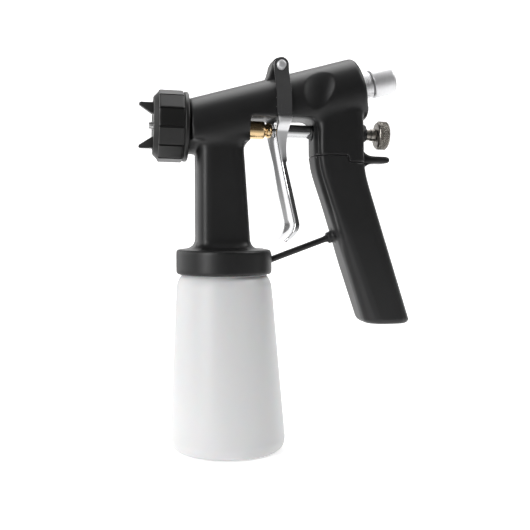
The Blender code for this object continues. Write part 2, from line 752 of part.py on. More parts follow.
def arm_side_view():
    """The arm's outline from the side, about the pivot, round at the pin."""
    foot, shoulder = 187.8, 193.0
    front = blade_front(190.0)
    rear = front + flange_depth(190.0)
    outline = arc((0, 0), ARM_HALF_DEPTH, 0, 180, 10)
    outline += [about_pivot(PIVOT_X - ARM_HALF_DEPTH, 200.0), about_pivot(front, shoulder)]
    outline += [about_pivot(front, foot), about_pivot(rear, foot)]
    outline += [about_pivot(PIVOT_X + ARM_HALF_DEPTH - 0.8, 192.5)]
    outline += [about_pivot(PIVOT_X + ARM_HALF_DEPTH, 197.0)]
    return outline


def arm_form(side):
    """One arm as a strip of sheet, wider than needed until its side outline trims it."""
    reach = 12.0
    outer = [(side * y, height) for height, y in arm_front_view()]
    inner = [(side * (y - SHEET), height) for height, y in arm_front_view()]
    form = bmesh.new()
    corners = []
    for y, height in outer + inner[::-1]:
        corners.append(form.verts.new((-reach, y, height - PIVOT_HEIGHT)))
    face = form.faces.new(corners)
    extruded = bmesh.ops.extrude_face_region(form, geom=[face])
    moved = [item for item in extruded["geom"] if isinstance(item, bmesh.types.BMVert)]
    bmesh.ops.translate(form, vec=(2 * reach, 0, 0), verts=moved)
    return form


def make_trigger():
    pivot = add_frame("trigger_pivot", (PIVOT_X, 0, PIVOT_HEIGHT))
    trigger = add_object("trigger", blade_form(), "chrome", pivot)
    for name, side in (("near_arm", -1), ("far_arm", 1)):
        arm = add_object(name, arm_form(side), None, pivot)
        outline = add_object(name + "_outline", slab(arm_side_view(), -26, 26), None, pivot)
        combine(arm, outline, "INTERSECT")
        join(trigger, arm)

    above = 200 - PIVOT_HEIGHT
    web_top = box((-8, -16.4, 194.0 - PIVOT_HEIGHT), (8, 16.4, above))
    slot = box((-8, -2.4, 185.5 - PIVOT_HEIGHT), (8, 2.4, above))
    pin_hole = round_bar((0, -30, 0), (0, 30, 0), PIN_HOLE_RADIUS, COARSE)
    cut(
        trigger,
        add_object("web_top_trim", web_top, None, pivot),
        add_object("needle_slot", slot, None, pivot),
        add_object("arm_pin_hole", pin_hole, None, pivot),
    )
    make_pin(pivot)


def make_pin(pivot):
    """The pivot pin with its head, its clip and a washer on each side of the lug."""
    side = ARM_TOP_Y + GAP
    pin = [(-side - 1.3, 0), (-side - 1.3, 1.9), (-side - 0.8, 2.6), (-side, 2.6), (-side, 2.0)]
    pin += [(side + 0.1, 2.0), (side + 0.1, 1.4), (side + 1.1, 1.4), (side + 1.1, 2.0)]
    pin += [(side + 1.9, 2.0), (side + 1.9, 0)]
    clip = tube_outline(side + 0.3, side + 0.9, 1.7, 3.6)
    low = LUG_HALF_WIDTH + GAP
    high = ARM_TOP_Y - SHEET - GAP
    pieces = (
        ("trigger_pin", pin, "chrome"),
        ("pin_clip", clip, "steel"),
        ("pivot_washer_left", tube_outline(-low, -high, PIN_HOLE_RADIUS, 4.0), "packing_white"),
        ("pivot_washer_right", tube_outline(low, high, PIN_HOLE_RADIUS, 4.0), "packing_white"),
    )
    for name, outline, finish in pieces:
        piece = add_object(name, turned(outline, 24), finish, pivot)
        piece.rotation_euler.z = math.radians(90)


# ---------------------------------------------------------------- hose fitting


def make_hose_fitting(hose):
    rear = BARREL_REAR
    nipple = [(rear - 8, 5.2), (rear - 8, 7.7), (rear + 7.6, 7.7), (rear + 7.6, 6.4)]
    nipple += [(rear + 15.0, 6.4), (rear + 15.0, 5.2)]
    add_object("hose_nipple", turned(nipple, 32), "satin_aluminium", hose)
    collar = [(rear + 7.9, 6.8), (rear + 7.9, 8.0), (rear + 8.5, 8.65), (rear + 20.8, 8.65)]
    collar += [(rear + 21.9, 7.8), (rear + 21.9, 6.2), (rear + 17.2, 6.2), (rear + 16.4, 6.8)]
    add_object("hose_collar", turned(collar, 36), "satin_aluminium", hose)
    o_ring = turned(arc((rear + 15.8, 6.0), 0.45, 0, 315, 7), 28)
    add_object("hose_o_ring", o_ring, "seal_rubber", hose)


def main():
    clear_scene()
    spray = add_frame("spray_axis", (0, 0, SPRAY_HEIGHT), SPRAY_TILT)
    barrel = add_frame("barrel_axis", (0, 0, BARREL_HEIGHT), -BARREL_TILT)
    hose = add_frame("hose_axis", (0, 0, HOSE_RISE))
    hose.parent = barrel
    make_body(spray, barrel, hose)
    make_grip()
    make_brace()
    make_cup()
    make_front_end(spray)
    make_needle_train(spray)
    make_trigger()
    make_hose_fitting(hose)


main()
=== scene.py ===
"""Spray gun with a paint cup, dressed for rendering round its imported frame.

Lengths are in millimetres until a form becomes a piece. +Z is up and the nozzle points along -X.
Each tilted group has its own matrix: the spray axis, the barrel, the hose inlet and the trigger's pivot.
"""

import math

import bmesh
import bpy
import numpy as np
from mathutils import Matrix, Vector


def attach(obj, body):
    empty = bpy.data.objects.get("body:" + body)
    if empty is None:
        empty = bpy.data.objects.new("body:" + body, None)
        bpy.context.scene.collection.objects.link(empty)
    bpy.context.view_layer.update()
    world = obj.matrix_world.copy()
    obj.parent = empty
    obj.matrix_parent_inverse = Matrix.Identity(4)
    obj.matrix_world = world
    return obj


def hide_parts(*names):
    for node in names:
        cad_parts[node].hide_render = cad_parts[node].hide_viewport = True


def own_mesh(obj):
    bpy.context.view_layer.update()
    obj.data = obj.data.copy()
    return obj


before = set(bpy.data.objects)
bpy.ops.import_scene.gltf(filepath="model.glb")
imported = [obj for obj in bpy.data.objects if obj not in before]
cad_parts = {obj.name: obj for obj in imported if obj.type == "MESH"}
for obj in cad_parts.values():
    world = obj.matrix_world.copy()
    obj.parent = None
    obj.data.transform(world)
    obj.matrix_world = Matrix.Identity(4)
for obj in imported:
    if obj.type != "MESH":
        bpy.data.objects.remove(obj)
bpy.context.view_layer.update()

bl_info = {
    "name": "Spray gun builder",
    "version": (1, 0, 0),
    "blender": (4, 5, 0),
    "location": "View3D > Sidebar > Spray gun",
    "description": "Builds the finished pieces of a paint spray gun on its packed frame",
    "category": "Add Mesh",
}

MM = 0.001

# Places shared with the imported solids
SPRAY_HEIGHT = 190.35
SPRAY_TILT = math.radians(1.5)
BARREL_HEIGHT = 193.9
BARREL_TILT = math.radians(15.0)
BARREL_RADIUS = 18.9
BARREL_REAR = 82.8
HOSE_RISE = 1.1
LID_OFFSET = -2.1
LID_RADIUS = 28.3
LID_BOTTOM = 104.8
LID_TOP = 119.5
PIVOT_X = 30.35
PIVOT_HEIGHT = 226.8
HANDLE_FRONT = 50.9
FRONT_SLOPE = 0.3235
FRONT_BEND_HEIGHT = 169.2
BEND_SOFTNESS = 3.6
BRACE_START = Vector((24.7, 0.0, 112.45))
BRACE_END = Vector((64.6, 0.0, 126.95))
SHEET = 1.6

UPRIGHT = Matrix.Rotation(math.radians(-90), 4, "Y")
SPRAY = Matrix.Translation((0, 0, SPRAY_HEIGHT)) @ Matrix.Rotation(SPRAY_TILT, 4, "Y")
BARREL = Matrix.Translation((0, 0, BARREL_HEIGHT)) @ Matrix.Rotation(-BARREL_TILT, 4, "Y")
HOSE = BARREL @ Matrix.Translation((0, 0, HOSE_RISE))
PIVOT = Matrix.Translation((PIVOT_X, 0, PIVOT_HEIGHT)) @ Matrix.Rotation(math.radians(90), 4, "Z")


# ---------------------------------------------------------------- settings


class GunColours(bpy.types.PropertyGroup):
    body: bpy.props.FloatVectorProperty(
        name="Body", description="Colour of the moulded body", default=(0.0085, 0.0085, 0.0088),
        subtype="COLOR", min=0, max=1,
    )
    ring: bpy.props.FloatVectorProperty(
        name="Cap ring", description="Colour of the ring and the air cap", default=(0.008, 0.008, 0.0078),
        subtype="COLOR", min=0, max=1,
    )
    cup: bpy.props.FloatVectorProperty(
        name="Cup", description="Colour of the cup's plastic", default=(0.655, 0.655, 0.66),
        subtype="COLOR", min=0, max=1,
    )
    brass: bpy.props.FloatVectorProperty(
        name="Brass", description="Colour of the packing nut", default=(0.80, 0.58, 0.32),
        subtype="COLOR", min=0, max=1,
    )
    nickel: bpy.props.FloatVectorProperty(
        name="Nickel", description="Colour of the control knob", default=(0.34, 0.32, 0.29),
        subtype="COLOR", min=0, max=1,
    )


class GunSizes(bpy.types.PropertyGroup):
    cast_detail: bpy.props.FloatProperty(
        name="Cast detail", description="Size of the smallest face on the body and the grip",
        default=0.0008, min=0.0005, max=0.003, unit="LENGTH", precision=5,
    )
    cast_softness: bpy.props.IntProperty(
        name="Cast softness", description="Rounds of smoothing on the body's edges",
        default=7, min=0, max=40,
    )
    turned_sides: bpy.props.IntProperty(
        name="Turned sides", description="Faces round a turned piece", default=96, min=24, max=256,
    )
    knurl_depth: bpy.props.FloatProperty(
        name="Knurl depth", description="Depth of the diamond pattern on the control knob",
        default=0.00048, min=0.0, max=0.001, unit="LENGTH", precision=5,
    )


class StudioSettings(bpy.types.PropertyGroup):
    key_power: bpy.props.FloatProperty(
        name="Key light", description="Power of the tall softbox on the left",
        default=9.0, min=0, unit="POWER",
    )
    side_power: bpy.props.FloatProperty(
        name="Side light", description="Power of the wide softbox at the far left",
        default=6.5, min=0, unit="POWER",
    )
    top_power: bpy.props.FloatProperty(
        name="Top light", description="Power of the softbox overhead",
        default=6.0, min=0, unit="POWER",
    )
    fill_power: bpy.props.FloatProperty(
        name="Fill light", description="Power of the softbox above and to the right",
        default=5.5, min=0, unit="POWER",
    )
    surround: bpy.props.FloatProperty(
        name="Surround", description="Brightness of the room around the stage",
        default=0.07, min=0, max=2,
    )


# ---------------------------------------------------------------- shader tools


class Wire:
    """One output of a node. Python's operators on it add Math nodes."""

    def __init__(self, finish, socket):
        self.finish = finish
        self.socket = socket

    def math(self, operation, *terms):
        return self.finish.node("ShaderNodeMath", {"operation": operation}, dict(enumerate(terms)))

    def __add__(self, other):
        return self.math("ADD", self, other)

    def __sub__(self, other):
        return self.math("SUBTRACT", self, other)

    def __rsub__(self, other):
        return self.math("SUBTRACT", other, self)

    def __mul__(self, other):
        return self.math("MULTIPLY", self, other)

    __radd__ = __add__
    __rmul__ = __mul__


class Finish:
    """A procedural material: one Principled shader and the nodes that vary it over a surface."""

    def __init__(self, name, **constants):
        self.material = bpy.data.materials.new(name)
        self.material.use_nodes = True
        self.tree = self.material.node_tree
        self.shader = self.tree.nodes["Principled BSDF"]
        self.place = self.node("ShaderNodeTexCoord", output="Object")
        for key, value in constants.items():
            self.shader.inputs[key.replace("_", " ")].default_value = value

    def node(self, kind, settings=None, inputs=None, output=0):
        """Adds a node: its settings first, then the values or wires of its inputs."""
        made = self.tree.nodes.new(kind)
        for key, value in (settings or {}).items():
            if key == "stops":
                self.set_stops(made.color_ramp, value)
            else:
                setattr(made, key, value)
        for key, value in (inputs or {}).items():
            self.feed(made.inputs[key], value)
        return Wire(self, made.outputs[output])

    def set_stops(self, ramp, stops):
        while len(ramp.elements) < len(stops):
            ramp.elements.new(0.5)
        for element, (position, level) in zip(ramp.elements, stops):
            element.position = position
            element.color = (level, level, level, 1)

    def feed(self, socket, value):
        if isinstance(value, Wire):
            self.tree.links.new(value.socket, socket)
        else:
            socket.default_value = value

    def noise(self, size, detail=3.0, stretch=(1, 1, 1)):
        """Noise whose grain is about size, in metres, stretched along the axes."""
        scaled = self.node(
            "ShaderNodeVectorMath", {"operation": "MULTIPLY"}, {0: self.place, 1: Vector(stretch) / size}
        )
        return self.node("ShaderNodeTexNoise", {}, {"Vector": scaled, "Scale": 1.0, "Detail": detail})

    def ramp(self, wire, stops):
        return self.node("ShaderNodeValToRGB", {"stops": stops}, {"Fac": wire})

    def blend(self, share, first, second):
        """A colour that goes from first to second as share goes from 0 to 1."""
        factor, colour_a, colour_b, colour_out = 0, 6, 7, 2
        inputs = {factor: share, colour_a: (*first, 1.0), colour_b: (*second, 1.0)}
        return self.node("ShaderNodeMix", {"data_type": "RGBA"}, inputs, output=colour_out)

    def bump(self, height, distance):
        inputs = {"Height": height, "Distance": distance, "Strength": 1.0}
        self.feed(self.shader.inputs["Normal"], self.node("ShaderNodeBump", {}, inputs))

    def set(self, **inputs):
        for key, value in inputs.items():
            self.feed(self.shader.inputs[key.replace("_", " ")], value)
        return self.material


def scaled_colour(colour, factor):
    return tuple(min(channel * factor, 1.0) for channel in colour)


def cast_black(name, colour, roughness, grain=0.00045):
    """Satin black moulding: a fine pebble, soft sheen patches and paler rubbed places."""
    finish = Finish(name, Specular_IOR_Level=0.42)
    pebble = finish.noise(grain, 2.0)
    patches = finish.noise(0.018, 4.0)
    handled = finish.ramp(finish.noise(0.045, 3.0), [(0.42, 0.0), (0.75, 1.0)])
    finish.bump(pebble, 0.000012)
    return finish.set(
        Base_Color=finish.blend(handled * 0.6, colour, scaled_colour(colour, 1.7)),
        Roughness=(patches * 0.10) + (pebble * 0.06) + (roughness - 0.08),
    )


def cup_white(name, colour):
    """Milky moulded plastic, with faint flow lines and a slightly uneven gloss."""
    finish = Finish(name, Specular_IOR_Level=0.45, Subsurface_Weight=0.12, Subsurface_Scale=0.004)
    flow = finish.noise(0.012, 4.0, stretch=(1, 1, 0.25))
    fine = finish.noise(0.0012, 2.0)
    finish.bump(flow * 0.7 + fine * 0.3, 0.00003)
    return finish.set(
        Base_Color=finish.blend(flow * 0.5, colour, scaled_colour(colour, 0.965)),
        Roughness=(flow * 0.10) + (fine * 0.05) + 0.30,
    )


def polished(name, colour, roughness, smudge=0.05, grain=None):
    """Plated or turned metal. Grain is the spacing of its tool marks along X, if it shows any."""
    finish = Finish(name, Metallic=1.0)
    haze = finish.noise(0.012, 4.0)
    if grain:
        marks = finish.noise(grain, 2.0, stretch=(1, 0.04, 0.04))
        finish.bump(marks, 0.000010)
        haze = haze * 0.5 + marks * 0.5
    hazy = finish.ramp(haze, [(0.35, 0.0), (0.8, 1.0)])
    return finish.set(
        Base_Color=finish.blend(hazy, colour, scaled_colour(colour, 0.86)),
        Roughness=haze * smudge + roughness,
    )


def dull(name, colour, roughness):
    """Rubber, packing and other plain soft materials with a fine grain."""
    finish = Finish(name)
    fine = finish.noise(0.0008, 3.0)
    finish.bump(fine, 0.00002)
    return finish.set(
        Base_Color=finish.blend(fine, colour, scaled_colour(colour, 0.85)),
        Roughness=fine * 0.1 + roughness,
    )


def finish_for(slot):
    """The material of one of the record's slots, made the first time it is asked for."""
    name = f"fine_{slot}"
    found = bpy.data.materials.get(name)
    if found:
        return found
    colours = bpy.context.scene.gun_colours
    if slot == "cup_plastic":
        return cup_white(name, tuple(colours.cup))
    recipes = {
        "black_body": (cast_black, tuple(colours.body), 0.40, {}),
        "black_grip": (cast_black, scaled_colour(colours.body, 1.12), 0.43, {}),
        "black_ring": (cast_black, tuple(colours.ring), 0.36, {"grain": 0.0006}),
        "chrome": (polished, (0.68, 0.68, 0.69), 0.06, {}),
        "steel": (polished, (0.58, 0.58, 0.58), 0.22, {"smudge": 0.12, "grain": 0.0003}),
        "brass": (polished, tuple(colours.brass), 0.12, {"smudge": 0.14, "grain": 0.0004}),
        "nickel": (polished, tuple(colours.nickel), 0.26, {"smudge": 0.16, "grain": 0.0005}),
        "satin_aluminium": (polished, (0.82, 0.82, 0.83), 0.46, {"smudge": 0.10, "grain": 0.00025}),
        "clear_tube": (dull, (0.78, 0.80, 0.80), 0.25, {}),
        "packing_white": (dull, (0.82, 0.81, 0.77), 0.45, {}),
        "seal_rubber": (dull, (0.022, 0.022, 0.022), 0.65, {}),
    }
    make, colour, roughness, options = recipes[slot]
    return make(name, colour, roughness, **options)


# ---------------------------------------------------------------- mesh tools


def make_piece(name, form, slot, body, nodes, place=None, sharp=38):
    """Turns a form in millimetres into a finished piece that rides on a body."""
    if place:
        bmesh.ops.transform(form, matrix=place, verts=form.verts)
    bmesh.ops.scale(form, vec=(MM, MM, MM), verts=form.verts)
    bmesh.ops.recalc_face_normals(form, faces=form.faces)
    mesh = mesh_from(name, form)
    mesh.shade_smooth()
    mesh.set_sharp_from_angle(angle=math.radians(sharp))
    return settle_piece(name, mesh, slot, body, nodes)


def mesh_from(name, form):
    """The form as a mesh. The form is used up."""
    mesh = bpy.data.meshes.new(name)
    form.to_mesh(mesh)
    form.free()
    return mesh


def settle_piece(name, mesh, slot, body, nodes):
    """Puts a mesh in the scene as a finished piece that rides on a body and replaces its solids."""
    mesh.materials.clear()
    mesh.materials.append(finish_for(slot))
    piece = bpy.data.objects.new(name, mesh)
    bpy.context.scene.collection.objects.link(piece)
    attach(piece, body)
    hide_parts(*nodes)
    return piece


def dress(node, slot):
    """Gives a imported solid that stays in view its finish."""
    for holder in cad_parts[node].material_slots:
        holder.material = finish_for(slot)


def applied(piece):
    """Makes the piece's modifiers part of its mesh."""
    graph = bpy.context.evaluated_depsgraph_get()
    graph.update()
    mesh = bpy.data.meshes.new_from_object(piece.evaluated_get(graph))
    piece.modifiers.clear()
    piece.data = mesh
    return mesh


def softened(outline, reach, closed):
    """The outline with each corner rounded off over reach."""
    points = []
    count = len(outline)
    for i, corner in enumerate(outline):
        here = Vector(corner)
        if not closed and i in (0, count - 1):
            points.append(here)
            continue
        before = Vector(outline[i - 1]) - here
        after = Vector(outline[(i + 1) % count]) - here
        start = here + before.normalized() * min(reach, before.length * 0.45)
        end = here + after.normalized() * min(reach, after.length * 0.45)
        for t in (0.0, 0.33, 0.67, 1.0):
            points.append(start * (1 - t) ** 2 + here * 2 * t * (1 - t) + end * t * t)
    return [(point.x, point.y) for point in points]


def divided(points, step):
    """The same line with no stretch longer than step."""
    found = [points[0]]
    for first, second in zip(points, points[1:]):
        count = max(1, math.ceil(math.dist(first, second) / step))
        for i in range(1, count + 1):
            share = i / count
            found.append(tuple(a + (b - a) * share for a, b in zip(first, second)))
    return found


def turned(outline, reach=0.25, sides=None, step=None, radius_of=None):
    """A turned form along X from (along, radius) points. radius_of can shape the radius by angle."""
    sides = sides or bpy.context.scene.gun_sizes.turned_sides
    closed = all(radius > 0 for along, radius in outline)
    points = softened(outline, reach, closed)
    if step:
        points = divided(points, step)
    form = bmesh.new()
    rings = []
    for along, radius in points:
        if radius < 1e-6:
            rings.append([form.verts.new((along, 0, 0))])
            continue
        ring = []
        for i in range(sides):
            angle = math.tau * i / sides
            out = radius_of(along, radius, angle) if radius_of else radius
            ring.append(form.verts.new((along, out * math.sin(angle), out * math.cos(angle))))
        rings.append(ring)
    pairs = list(zip(rings, rings[1:]))
    if closed:
        pairs.append((rings[-1], rings[0]))
    for first, second in pairs:
        for i in range(sides):
            j = (i + 1) % sides
            lower = [first[i % len(first)], first[j % len(first)]]
            upper = [second[j % len(second)], second[i % len(second)]]
            corners = list(dict.fromkeys(lower + upper))
            if len(corners) > 2:
                form.faces.new(corners)
    return form


def tube(start, end, inner, outer):
    """The outline of a plain tube, for turned."""
    return [(start, inner), (start, outer), (end, outer), (end, inner)]


def smoothstep(value, low, high):
    """0 up to low, 1 from high on, and a smooth rise between them."""
    share = np.clip((value - low) / (high - low), 0.0, 1.0)
    return share * share * (3 - 2 * share)


def bell(value, middle, reach):
    """1 at the middle, falling smoothly away on both sides."""
    return np.exp(-(((value - middle) / reach) ** 2))


# ---------------------------------------------------------------- body and grip


def handle_front(height):
    """X of the handle's front: upright at the top, then sloping back."""
    drop = (FRONT_BEND_HEIGHT - height) / BEND_SOFTNESS
    return HANDLE_FRONT + FRONT_SLOPE * BEND_SOFTNESS * np.log1p(np.exp(drop))


def cast_copy(name, node, slot):
    """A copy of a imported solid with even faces, true round parts and softened edges."""
    sizes = bpy.context.scene.gun_sizes
    piece = bpy.data.objects.new(name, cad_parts[node].data.copy())
    bpy.context.scene.collection.objects.link(piece)
    remesh = piece.modifiers.new("even_faces", "REMESH")
    remesh.mode = "VOXEL"
    remesh.voxel_size = sizes.cast_detail
    mesh = applied(piece)
    points = read_points(mesh)
    true_rounds(points)
    write_points(mesh, points)
    soften = piece.modifiers.new("soft_edges", "SMOOTH")
    soften.factor = 0.5
    soften.iterations = sizes.cast_softness
    weigh(piece, soften, 1 - seam_share(read_points(mesh)))
    blend = piece.modifiers.new("deep_fillets", "SMOOTH")
    blend.factor = 0.6
    blend.iterations = 45
    weigh(piece, blend, deep_share(read_points(mesh)))
    mesh = applied(piece)
    points = read_points(mesh)
    points -= read_normals(mesh) * cast_relief(points, read_normals(mesh))[:, None]
    write_points(mesh, points)
    mesh.shade_smooth()
    bpy.data.objects.remove(piece)
    return settle_piece(name, mesh, slot, "gun", [node])


def read_rows(items, name):
    values = np.empty(len(items) * 3, np.float32)
    items.foreach_get(name, values)
    return values.reshape(-1, 3).astype(float)


def read_points(mesh):
    return read_rows(mesh.vertices, "co") / MM


def read_normals(mesh):
    return read_rows(mesh.vertex_normals, "vector")


def write_points(mesh, points):
    mesh.vertices.foreach_set("co", (points * MM).astype(np.float32).ravel())
    mesh.update()


def true_rounds(points):
    """Moves points that lie near the barrel's or the lid's surface exactly onto it."""
    tolerance = 0.16
    direction = np.array(BARREL.to_3x3().col[0])
    middle = np.array(BARREL.translation)
    along = (points - middle) @ direction
    foot = middle + along[:, None] * direction
    out = points - foot
    radius = np.linalg.norm(out, axis=1)
    near = (abs(radius - BARREL_RADIUS) < tolerance) & (along < BARREL_REAR - 1)
    points[near] = foot[near] + out[near] / radius[near, None] * BARREL_RADIUS
    lid_centre = np.array([LID_OFFSET, 0.0])
    height = points[:, 2]
    aside = points[:, :2] - lid_centre
    radius = np.linalg.norm(aside, axis=1)
    near = (abs(radius - LID_RADIUS) < tolerance) & (height > LID_BOTTOM - 1) & (height < LID_TOP)
    points[near, :2] = lid_centre + aside[near] / radius[near, None] * LID_RADIUS


def weigh(piece, modifier, shares):
    """Limits a modifier to a share of its effect at each point."""
    least = 0.02
    group = piece.vertex_groups.new(name=modifier.name)
    for index in np.nonzero(shares > least)[0]:
        group.add([int(index)], float(shares[index]), "REPLACE")
    modifier.vertex_group = group.name


def seam_share(points):
    """1 along the stepped seam between the body and the grip, whose edges stay crisp."""
    x, y, z = points.T
    step_x, front_seam, rear_seam = 70.0, 174.7, 170.7
    handle_front_x, handle_rear_x = 45, 84
    seam = np.where(x < step_x, front_seam, rear_seam)
    near = bell(z, seam, 1.6) * (x > handle_front_x)
    step = (abs(x - step_x) < 2.0) * (z > 169.0) * (z < 176.5)
    return np.clip(near + step, 0.0, 1.0) * (x < handle_rear_x)


def deep_share(points):
    """Where the casting has wide fillets: under the block, above the lid and in the coves."""
    x, y, z = points.T
    block_bottom, lid_fillet, spur_cove = 182.5, 121.0, 183.0
    block = bell(z, block_bottom, 5.0) * (x < 9) * (x > -24)
    lid = bell(z, lid_fillet, 2.2) * (np.hypot(x - LID_OFFSET, y) < LID_RADIUS - 4)
    cove = bell(z, spur_cove, 6.0) * (x > 79.5)
    under_barrel = BARREL_HEIGHT + x * math.tan(BARREL_TILT) - 10.4
    junction = bell(z, under_barrel, 6.0) * (x > 50) * (x < 83) * (abs(y) > 9)
    return np.clip(block + lid + 0.5 * cove + junction, 0.0, 1.0)


def cast_relief(points, normals):
    """How far each point sinks in: the barrel's side dishes and the coves down the handle's front."""
    x, y, z = points.T
    dish_x, dish_z, dish_lean = 53.0, 211.5, math.radians(-28)
    dish_front, dish_rear, dish_half_height, dish_depth = 10.5, 6.5, 12.0, 2.2
    across = (x - dish_x) * math.cos(dish_lean) + (z - dish_z) * math.sin(dish_lean)
    up = (z - dish_z) * math.cos(dish_lean) - (x - dish_x) * math.sin(dish_lean)
    reach = np.where(across > 0, across / dish_rear, across / dish_front) ** 2
    reach += (up / dish_half_height) ** 2
    on_side = (abs(y) > 10) * (abs(normals[:, 1]) > 0.3)
    dish = dish_depth * np.maximum(0.0, 1 - reach) ** 1.1 * on_side
    cove_y, cove_reach, cove_depth = 10.6, 2.7, 1.9
    ridge_behind, ridge_reach, ridge_height = 3.6, 2.4, 0.4
    on_handle = smoothstep(z, 108.0, 150.0) * (1 - smoothstep(z, 188.0, 194.5)) * (x > 40)
    behind = x - handle_front(z)
    cove = cove_depth * bell(abs(y), cove_y, cove_reach) * (1 - smoothstep(behind, 2.0, 5.5))
    cove *= smoothstep(-normals[:, 0], 0.05, 0.6)
    ridge = -ridge_height * bell(behind, ridge_behind, ridge_reach) * smoothstep(abs(y), 12.0, 15.0)
    return dish + on_handle * (cove + ridge)


class SPRAYGUN_OT_body(bpy.types.Operator):
    """Build the cast body: barrel, neck, lid, pivot lug, handle top and spur."""

    bl_idname = "spraygun.body"
    bl_label = "Body"

    def execute(self, context):
        cast_copy("body_casting", "gun_body", "black_body")
        return {"FINISHED"}


class SPRAYGUN_OT_grip(bpy.types.Operator):
    """Build the grip, its butt plate and the bolt that holds it."""

    bl_idname = "spraygun.grip"
    bl_label = "Grip"

    def execute(self, context):
        cast_copy("grip_moulding", "handle_grip", "black_grip")
        cast_copy("butt_plate", "handle_cap", "black_grip")
        bolt = [(151.8, 0), (151.8, 3.6), (155.7, 3.6), (155.7, 1.9), (181.5, 1.9), (181.5, 0)]
        place = Matrix.Translation((65.5, 0, 0)) @ UPRIGHT
        make_piece("grip_screw", turned(bolt, 0.3, 48), "steel", "gun", ["grip_bolt"], place)
        return {"FINISHED"}


class SPRAYGUN_OT_brace(bpy.types.Operator):
    """Build the straight brace between the lid and the grip, with its flared foot."""

    bl_idname = "spraygun.brace"
    bl_label = "Brace"

    def execute(self, context):
        line = BRACE_END - BRACE_START
        length = line.length
        outline = [(length * 0.01, 0), (length * 0.01, 1.85), (length - 6.5, 1.85), (length - 4.0, 2.25)]
        outline += [(length - 2.2, 2.1), (length, 1.8), (length, 0)]
        turn = line.to_track_quat("X", "Z").to_matrix().to_4x4()
        place = Matrix.Translation(BRACE_START) @ turn
        form = turned(outline, 0.5, 48, step=1.5)
        make_piece("brace_bar", form, "black_grip", "gun", ["brace_rod"], place)
        return {"FINISHED"}


# ---------------------------------------------------------------- cup


class SPRAYGUN_OT_cup(bpy.types.Operator):
    """Build the tapered cup with its neck and its screw thread."""

    bl_idname = "spraygun.cup"
    bl_label = "Cup"

    def execute(self, context):
        shoulder, wall = 104.1, 1.8
        outline = [(0.6, 0), (0.5, 27.0), (0.0, 28.5), (0.5, 31.6), (2.6, 33.6), (6.6, 34.4)]
        outline += [(shoulder - 11, 28.6), (shoulder - 5.5, 28.1), (shoulder - 2.2, 26.9)]
        outline += [(shoulder - 0.5, 25.6), (shoulder + 0.3, 25.0), (115.3, 25.0), (115.3, 25.0 - wall)]
        outline += [(shoulder - 2, 25.0 - wall), (shoulder - 9, 28.5 - wall), (7.0, 34.4 - wall)]
        outline += [(3.4, 31.8), (2.3, 28.6), (wall, 26.0), (wall, 0)]
        form = turned(outline, 1.3, 144, step=4.0, radius_of=cup_radius)
        bmesh.ops.transform(form, matrix=UPRIGHT, verts=form.verts)
        for vert in form.verts:
            vert.co.x += LID_OFFSET * min(vert.co.z, shoulder) / shoulder
        make_piece("paint_cup", form, "cup_plastic", "cup", ["cup"], sharp=50)
        return {"FINISHED"}


def cup_radius(height, radius, angle):
    """Adds a shallow thread to the outside of the cup's neck."""
    thread_start, thread_pitch, thread_depth, neck_radius = 105.5, 3.4, 0.18, 24.9
    if height < thread_start or radius < neck_radius:
        return radius
    climb = (height - thread_start - thread_pitch * angle / math.tau) / thread_pitch
    return radius + thread_depth * max(0.0, math.cos(math.tau * climb)) ** 3


class SPRAYGUN_OT_cup_fittings(bpy.types.Operator):
    """Build the gasket in the lid, the pickup tube and the small valve beside it."""

    bl_idname = "spraygun.cup_fittings"
    bl_label = "Cup fittings"

    def execute(self, context):
        valve = [(108.0, 0), (108.0, 0.8), (112.5, 2.4), (114.0, 3.2), (116.4, 3.2), (116.4, 1.7)]
        valve += [(119.5, 1.7), (119.5, 0)]
        pieces = (
            ("lid_seal", tube(115.6, 116.7, 20.5, 24.9), LID_OFFSET, "seal_rubber", "lid_gasket"),
            ("dip_tube", tube(5.0, 150.0, 2.2, 3.2), -4.0, "clear_tube", "pickup_tube"),
            ("breather_valve", valve, -15.0, "seal_rubber", "check_valve"),
        )
        for name, outline, x, slot, node in pieces:
            place = Matrix.Translation((x, 0, 0)) @ UPRIGHT
            make_piece(name, turned(outline, 0.2, 64), slot, "gun", [node], place)
        return {"FINISHED"}


# ---------------------------------------------------------------- front end

RING_FACETS = 12
RING_TURN = math.radians(6.2)
FACET_RADIUS = 20.3
GROOVE_DEPTH = 1.0
BAND_FRONT = -40.9
BAND_REAR = -26.3


def ring_radius(along, radius, angle):
    """Flats with a narrow groove at each corner, on the outside of the band only."""
    if radius < 19.0 or not BAND_FRONT < along < BAND_REAR:
        return radius
    step = math.tau / RING_FACETS
    aside = ((angle + RING_TURN) % step) - step / 2
    flat = FACET_RADIUS / math.cos(aside)
    from_corner = (step / 2 - abs(aside)) * FACET_RADIUS
    groove = 1 - float(smoothstep(from_corner, 0.30, 0.62))
    ends = min(along - BAND_FRONT, BAND_REAR - along)
    rise = float(smoothstep(ends, 0.0, 0.5))
    return radius + (flat - GROOVE_DEPTH * groove - radius) * rise


class SPRAYGUN_OT_cap_ring(bpy.types.Operator):
    """Build the faceted ring that holds the air cap."""

    bl_idname = "spraygun.cap_ring"
    bl_label = "Cap ring"

    def execute(self, context):
        ring = [(-23.5, 16.1), (-23.5, 19.5), (-24.1, 20.2), (-25.7, 20.2), (-26.3, 19.6), (-40.9, 19.5)]
        ring += [(-43.6, 16.7), (-43.6, 14.6), (-41.3, 14.6), (-41.3, 17.0), (-38.0, 17.0), (-38.0, 16.1)]
        form = turned(ring, 0.35, RING_FACETS * 26, step=0.7, radius_of=ring_radius)
        make_piece("grip_ring", form, "black_ring", "cap_ring", ["cap_ring"], SPRAY, sharp=45)
        return {"FINISHED"}


